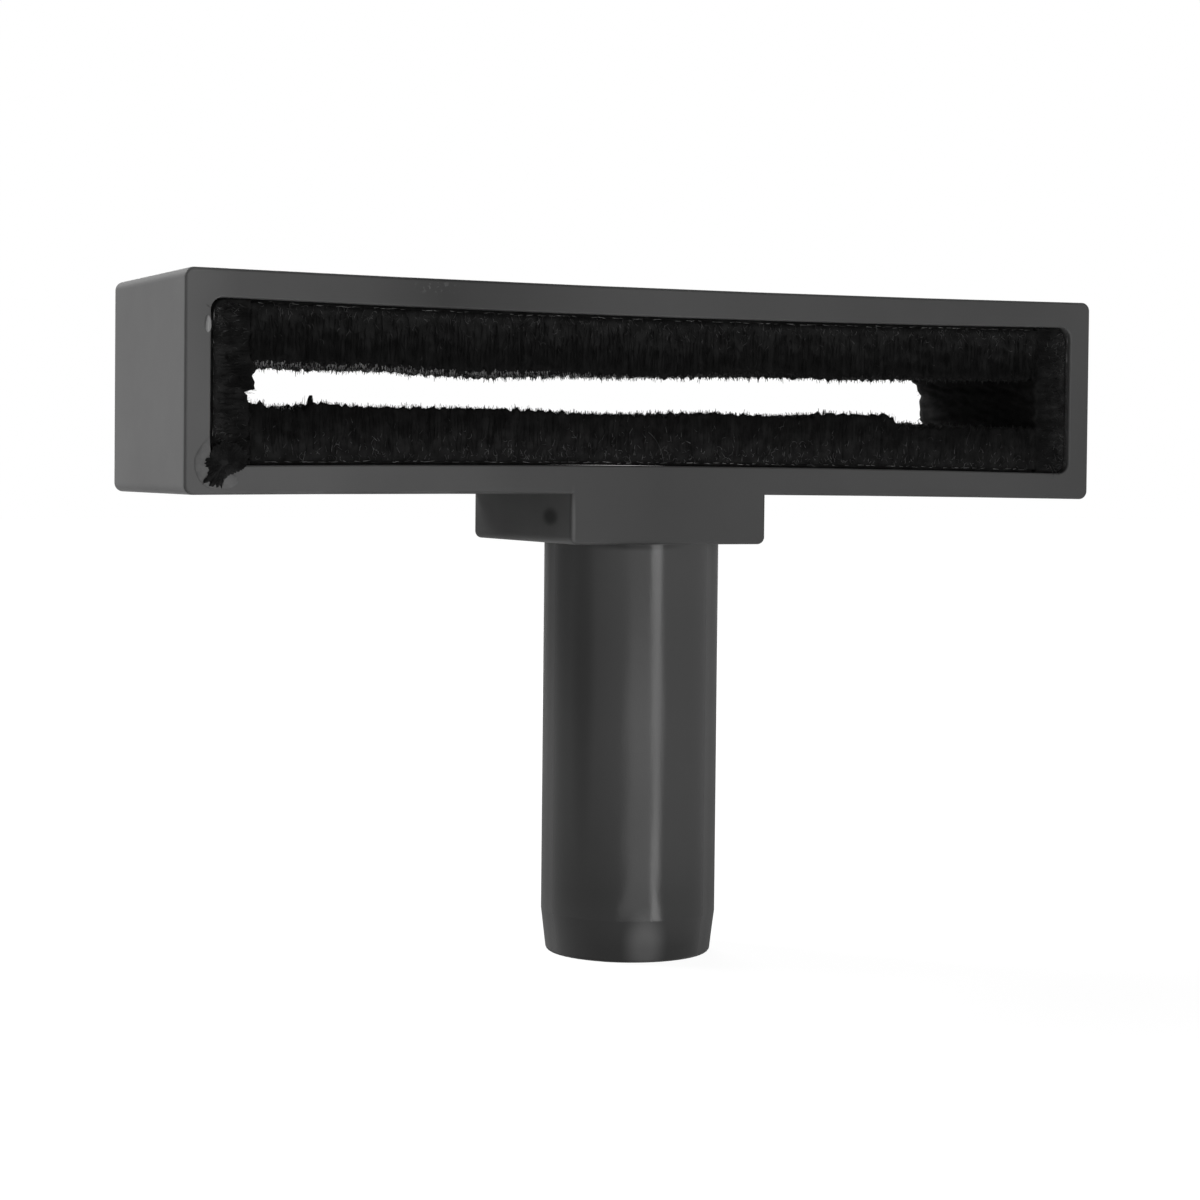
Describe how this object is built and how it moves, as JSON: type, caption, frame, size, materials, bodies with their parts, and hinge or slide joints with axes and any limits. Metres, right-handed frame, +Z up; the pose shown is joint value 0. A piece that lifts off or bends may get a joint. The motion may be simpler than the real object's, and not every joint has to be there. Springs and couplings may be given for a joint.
{
  "type": "ceiling fan vacuum attachment",
  "caption": "Black plastic vacuum attachment for ceiling fan blades: a brush-lined rectangular ring on a short round tube.",
  "frame": {"origin": "centre of the tube's open end", "axes": "+Z up the tube, away from the vacuum cleaner; X along the ring, from end to end; -Y is the front, with which the tube is flush"},
  "size_m": [0.2008, 0.0514, 0.1364],
  "materials": {
    "shell": "satin black injection moulding, glossier on the tube",
    "pile": "dense black synthetic pile on a thin woven backing"
  },
  "bodies": {
    "root": {"housing": "shell", "brush_top": "pile", "brush_bottom": "pile", "brush_left": "pile", "brush_right": "pile"}
  },
  "joints": []
}
